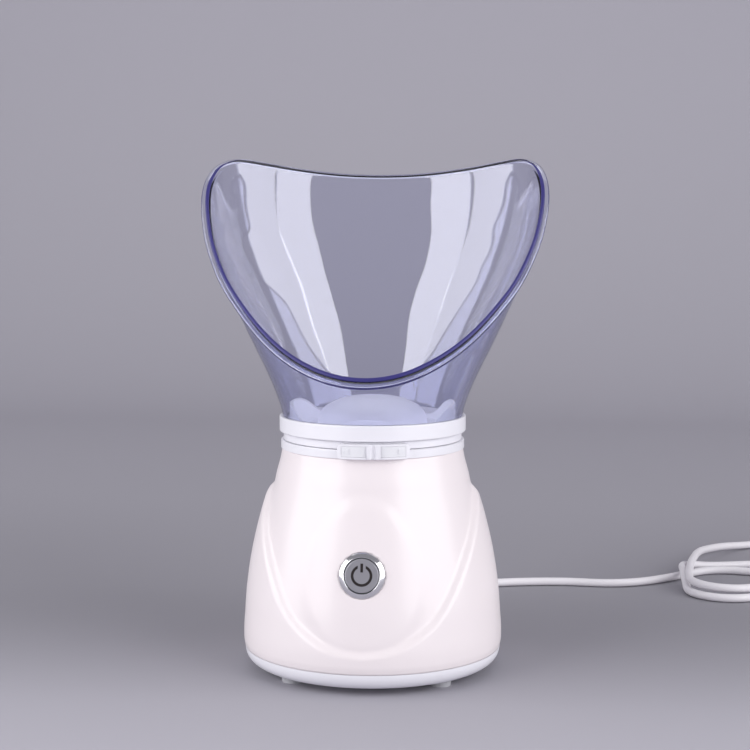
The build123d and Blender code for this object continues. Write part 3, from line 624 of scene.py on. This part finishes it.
def build_plug():
    """Moulded plug with a grooved tail and a slight waist to grip."""
    along = Vector((math.cos(PLUG_HEADING), math.sin(PLUG_HEADING), 0))
    across = Vector((-along.y, along.x, 0))
    place = Matrix((across, along.cross(across), along)).transposed().to_4x4()
    place = Matrix.Translation(Vector(PLUG_TAIL) * MM) @ place
    sections = [(0, 0, 0, 2)] + ribbed(0, 17.8, 3.0, 5.0, 6, 0.6) + PLUG_SECTIONS
    plug = section_piece("moulded_plug", sections, place, 64, "cord_white")
    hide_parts("plug_body")
    return plug


def build_cord(relief, plug):
    """One tube from the relief to the plug; it stands for the free stretch and the loose turns."""
    curve = bpy.data.curves.new("mains_cord", "CURVE")
    curve.dimensions = "3D"
    spline = curve.splines.new("NURBS")
    route = cord_route()
    spline.points.add(len(route) - 1)
    for point, place in zip(spline.points, route):
        point.co = (place[0] * MM, place[1] * MM, place[2] * MM, 1)
    spline.order_u = 3
    spline.use_endpoint_u = True
    spline.resolution_u = 12
    curve.bevel_depth = CORD_DIAMETER / 2 * MM
    curve.bevel_resolution = 8
    curve.use_fill_caps = True
    curve.materials.append(MATERIALS["cord_white"])
    cord = bpy.data.objects.new("mains_cord", curve)
    bpy.context.scene.collection.objects.link(cord)
    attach(cord, "base")
    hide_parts("power_cord", "cord_coil")


# ------------------------------------------------------------------ stage
# painted light and shade of the paper along the table and up the backdrop, darkest just behind the steamer
# as a painted shadow: (depth + height in metres, tone)
PAPER_SHADE_TONES = [(-0.30, 0.50), (-0.10, 0.44), (0.06, 0.27), (0.17, 0.27), (0.5, 0.36), (1.0, 0.41),
               (1.9, 0.43), (3.2, 0.55)]


def backdrop_paper_painted_shade():
    """Plain matt paper with painted light and shade: its tone changes slowly from the table's front to the
    backdrop's top, darkest on the table just behind the steamer.
    """
    material, nodes, links, shader = new_material("backdrop_paper_painted_shade")
    coords = nodes.new("ShaderNodeTexCoord")
    split = nodes.new("ShaderNodeSeparateXYZ")
    links.new(coords.outputs["Object"], split.inputs["Vector"])
    total = nodes.new("ShaderNodeMath")
    links.new(split.outputs["Y"], total.inputs[0])
    links.new(split.outputs["Z"], total.inputs[1])
    first, last = PAPER_SHADE_TONES[0][0], PAPER_SHADE_TONES[-1][0]
    place = nodes.new("ShaderNodeMapRange")
    set_inputs(place, From_Min=first, From_Max=last)
    links.new(total.outputs["Value"], place.inputs["Value"])
    ramp = nodes.new("ShaderNodeValToRGB")
    ramp.color_ramp.interpolation = "B_SPLINE"
    stops = ramp.color_ramp.elements
    while len(stops) < len(PAPER_SHADE_TONES):
        stops.new(0.5)
    for stop, (where, tone) in zip(stops, PAPER_SHADE_TONES):
        stop.position = (where - first) / (last - first)
        stop.color = (tone, tone * 0.97, tone * 1.09, 1)
    links.new(place.outputs["Result"], ramp.inputs["Fac"])
    links.new(ramp.outputs["Color"], shader.inputs["Base Color"])
    set_inputs(shader, Roughness=0.85)
    return material


def add_stage():
    """Pale table that curves up into a pale backdrop."""
    front, back, top, bend, half = -1.6, 1.5, 2.4, 0.5, 3.0
    profile = [(front, 0.0), (back - bend, 0.0)]
    for i in range(1, 13):
        angle = math.pi / 2 * i / 12
        profile.append((back - bend + bend * math.sin(angle), bend - bend * math.cos(angle)))
    profile.append((back, top))
    vertices = [(x, y, z) for x in (-half, half) for y, z in profile]
    count = len(profile)
    faces = [(i, i + 1, count + i + 1, count + i) for i in range(count - 1)]
    mesh = bpy.data.meshes.new("backdrop")
    mesh.from_pydata(vertices, [], faces)
    for polygon in mesh.polygons:
        polygon.use_smooth = True
    mesh.materials.append(backdrop_paper_painted_shade())
    backdrop = bpy.data.objects.new("backdrop", mesh)
    bpy.context.scene.collection.objects.link(backdrop)


def area_light(name, place, target, size, power):
    """Rectangular soft light that faces its target."""
    data = bpy.data.lights.new(name, "AREA")
    data.shape = "RECTANGLE"
    data.size, data.size_y = size
    data.energy = power
    light = bpy.data.objects.new(name, data)
    light.location = place
    aim = Vector(target) - Vector(place)
    light.rotation_euler = aim.to_track_quat("-Z", "Y").to_euler()
    bpy.context.scene.collection.objects.link(light)


# soft boxes around the steamer: degrees from the front towards the right, width, power
SOFT_BOXES = {"left_front": (-43.5, 0.66, 10.4), "left_side": (-75, 0.98, 12.8),
              "right_front": (45.5, 0.66, 10.0), "right_side": (76, 0.98, 13.0)}
BOX_DISTANCE = 1.5
BOX_TALL = 1.3
BOX_Z = 0.59


def add_lights():
    """Tall soft boxes left and right, a weak one above the rear and a dim even surround."""
    middle = (0, 0, 0.14)
    for name, (azimuth, width, power) in SOFT_BOXES.items():
        turn = math.radians(azimuth)
        place = (BOX_DISTANCE * math.sin(turn), -BOX_DISTANCE * math.cos(turn), BOX_Z)
        area_light(name, place, middle, (width, BOX_TALL), power)
    area_light("top_box", (0, 0.7, 1.8), middle, (2.4, 1.2), 6)
    world = bpy.data.worlds.new("world")
    bpy.context.scene.world = world
    world.use_nodes = True
    background = world.node_tree.nodes["Background"]
    background.inputs["Color"].default_value = (0.92, 0.91, 1.0, 1)
    background.inputs["Strength"].default_value = 0.28


# ------------------------------------------------------------------ build
add_camera()
finish_cad_nodes()
build_cord(build_relief(), build_plug())
build_face_mask()
build_housing()
build_bezel()
add_stage()
add_lights()
bpy.context.scene.view_settings.view_transform = "Standard"
